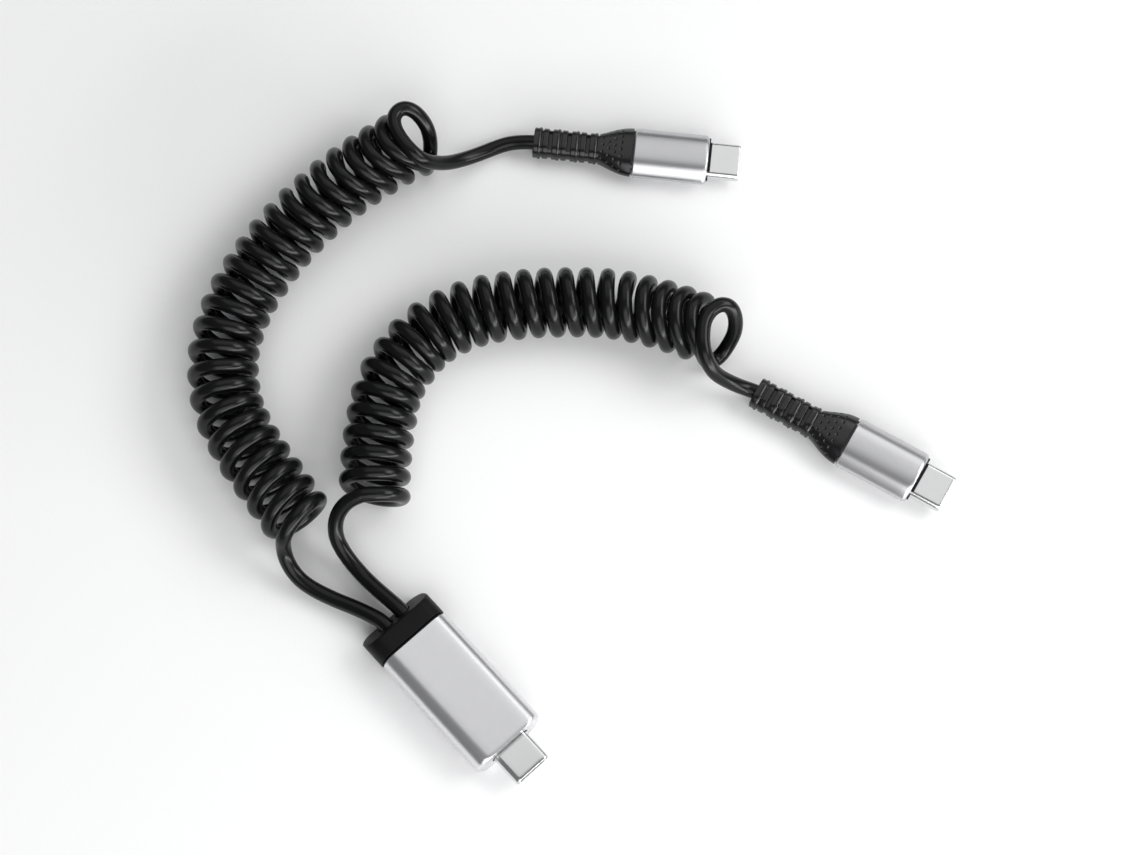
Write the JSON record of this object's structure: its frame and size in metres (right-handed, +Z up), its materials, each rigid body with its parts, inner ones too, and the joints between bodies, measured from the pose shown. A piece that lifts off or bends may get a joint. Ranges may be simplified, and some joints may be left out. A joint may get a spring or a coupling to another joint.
{
  "type": "coiled usb cable",
  "caption": "Splitter cable: a wide metal USB-C plug feeds two curly cords, each bent in an arc and ending in a smaller USB-C plug.",
  "frame": {"origin": "on the floor, under the middle of the splitter plug", "axes": "+X is the way the splitter plug points, +Z is up; both cords lie towards -X and +Y"},
  "size_m": [0.1412, 0.1321, 0.0144],
  "materials": {
    "aluminium": "satin anodised silver",
    "steel": "drawn and plated steel",
    "black_plastic": "satin moulded black",
    "black_insulator": "smooth moulded black",
    "cord_jacket": "satin black elastomer jacket"
  },
  "bodies": {
    "root": {"splitter_end_cap": "black_plastic", "splitter_sleeve": "aluminium", "splitter_inner_mould": "black_plastic", "splitter_usb_shell": "steel", "splitter_insulator": "black_insulator", "plug_a_strain_relief": "black_plastic", "plug_a_sleeve": "aluminium", "plug_a_inner_mould": "black_plastic", "plug_a_usb_shell": "steel", "plug_a_insulator": "black_insulator", "plug_b_strain_relief": "black_plastic", "plug_b_sleeve": "aluminium", "plug_b_inner_mould": "black_plastic", "plug_b_usb_shell": "steel", "plug_b_insulator": "black_insulator", "cord_a_lead": "cord_jacket", "cord_a_coil": "cord_jacket", "cord_a_tail": "cord_jacket", "cord_b_lead": "cord_jacket", "cord_b_coil": "cord_jacket", "cord_b_tail": "cord_jacket"}
  },
  "joints": []
}
